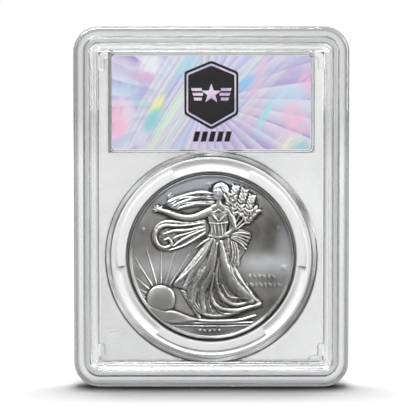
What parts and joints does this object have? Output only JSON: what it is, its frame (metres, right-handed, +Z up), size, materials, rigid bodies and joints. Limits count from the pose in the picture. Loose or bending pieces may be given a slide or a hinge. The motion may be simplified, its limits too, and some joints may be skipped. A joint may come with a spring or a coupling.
{
  "type": "graded coin slab",
  "caption": "Sealed clear coin holder: welded half shells around a white gasket, a silver coin and a film-covered label.",
  "frame": {"origin": "middle of the flat bottom edge that the holder stands on, at mid thickness", "axes": "+Z up along the height, +X along the width to the viewer's right, -Y towards the front with the label and the coin's obverse"},
  "size_m": [0.0664, 0.008, 0.087],
  "materials": {
    "clear_shell": "clear polished polystyrene, finely grained on the window's border",
    "weld": "fused, slightly cloudy",
    "gasket_white": "soft satin white",
    "silver": "satin struck silver with light toning",
    "card": "smooth white card",
    "holographic_film": "pastel holographic film with black print",
    "tag_film": "clear carrier film",
    "aluminium_track": "etched foil",
    "chip_black": "black resin"
  },
  "bodies": {
    "root": {"front_shell": "clear_shell", "back_shell": "clear_shell", "weld_bead": "weld", "coin_gasket": "gasket_white", "coin": "silver", "label_front_card": "card", "label_back_card": "card", "label_foil_front": "holographic_film", "label_foil_back": "holographic_film", "nfc_film": "tag_film", "nfc_antenna": "aluminium_track", "nfc_chip": "chip_black"}
  },
  "joints": []
}
